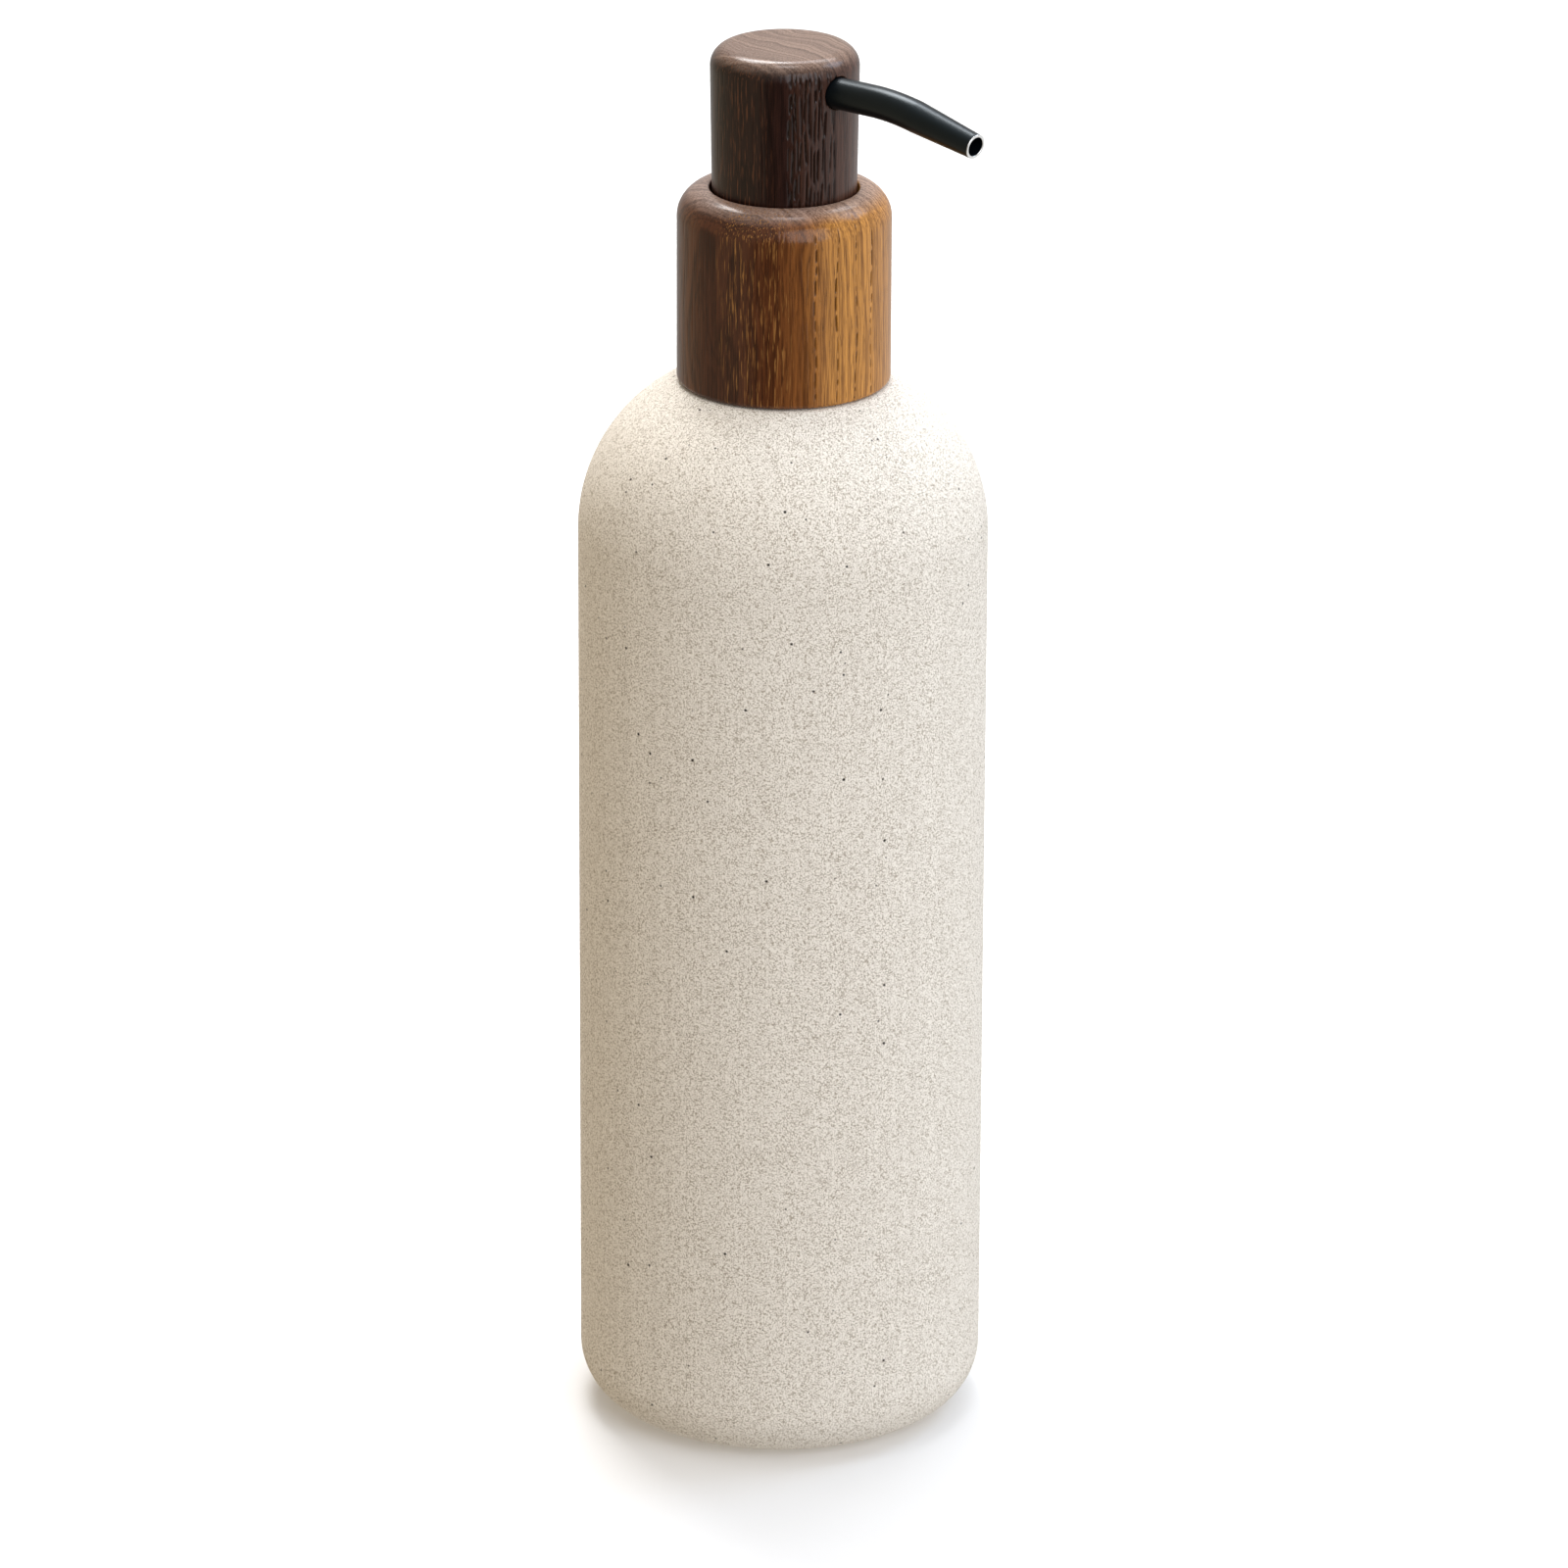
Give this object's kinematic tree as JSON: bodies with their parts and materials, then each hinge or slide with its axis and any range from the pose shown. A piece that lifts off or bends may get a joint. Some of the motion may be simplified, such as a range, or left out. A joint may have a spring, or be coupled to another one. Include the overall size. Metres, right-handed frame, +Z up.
{
  "type": "soap pump dispenser",
  "caption": "Tall round stone-effect bottle with domed shoulders, wooden screw collar and wooden pump head with a slim bent black spout.",
  "frame": {"origin": "centre of the underside, on the bottle's axis", "axes": "+Z up along the bottle's axis, +X the way the spout points"},
  "size_m": [0.0758, 0.067, 0.2355],
  "materials": {
    "stone": "matte",
    "pad": "matte",
    "gasket": "matte",
    "collar_wood": "satin",
    "head_wood": "satin",
    "black_plastic": "satin",
    "white_plastic": "satin",
    "tube_plastic": "satin",
    "seal": "satin",
    "steel": "satin",
    "black_metal": "satin"
  },
  "bodies": {
    "bottle": {"bottle": "stone", "base_pad": "pad"},
    "pump_unit": {"pump_housing": "white_plastic", "retaining_ring": "black_plastic", "stem_seal": "seal", "neck_gasket": "gasket", "ball_cage": "white_plastic", "dip_tube": "tube_plastic"},
    "collar": {"wood_collar": "collar_wood", "threaded_closure": "black_plastic"},
    "plunger": {"piston": "white_plastic", "return_spring": "steel"},
    "head": {"stem": "black_plastic", "piston_seat": "black_plastic", "actuator_core": "black_plastic", "wood_head": "head_wood", "spout_tube": "black_metal", "spout_seal": "seal"},
    "inlet_ball": {"inlet_ball": "steel"},
    "outlet_ball": {"outlet_ball": "steel"}
  },
  "joints": [
    {"name": "pump_lift", "type": "slide", "parent": "bottle", "child": "pump_unit", "axis": [0, 0, 1], "range_m": [0, 0.0053]},
    {"name": "collar_turn", "type": "hinge", "parent": "pump_unit", "child": "collar", "pos_m": [0, 0, 0.19], "axis": [0, 0, 1], "range_deg": [0, 450]},
    {"name": "pump_stroke", "type": "slide", "parent": "pump_unit", "child": "plunger", "axis": [0, 0, -1], "range_m": [0, 0.012], "stiffness_N_per_m": 900, "springref_m": -0.01, "deforming": ["return_spring"]},
    {"name": "head_swivel", "type": "hinge", "parent": "plunger", "child": "head", "pos_m": [0, 0, 0.2], "axis": [0, 0, 1], "continuous": true},
    {"name": "inlet_ball_lift", "type": "slide", "parent": "pump_unit", "child": "inlet_ball", "axis": [0, 0, 1], "range_m": [0, 0.0015]},
    {"name": "outlet_ball_lift", "type": "slide", "parent": "head", "child": "outlet_ball", "axis": [0, 0, 1], "range_m": [0, 0.0012]}
  ],
  "couplings": [
    {"joint": "pump_lift", "follows": "collar_turn", "m_per_rad": 0.00066845}
  ]
}
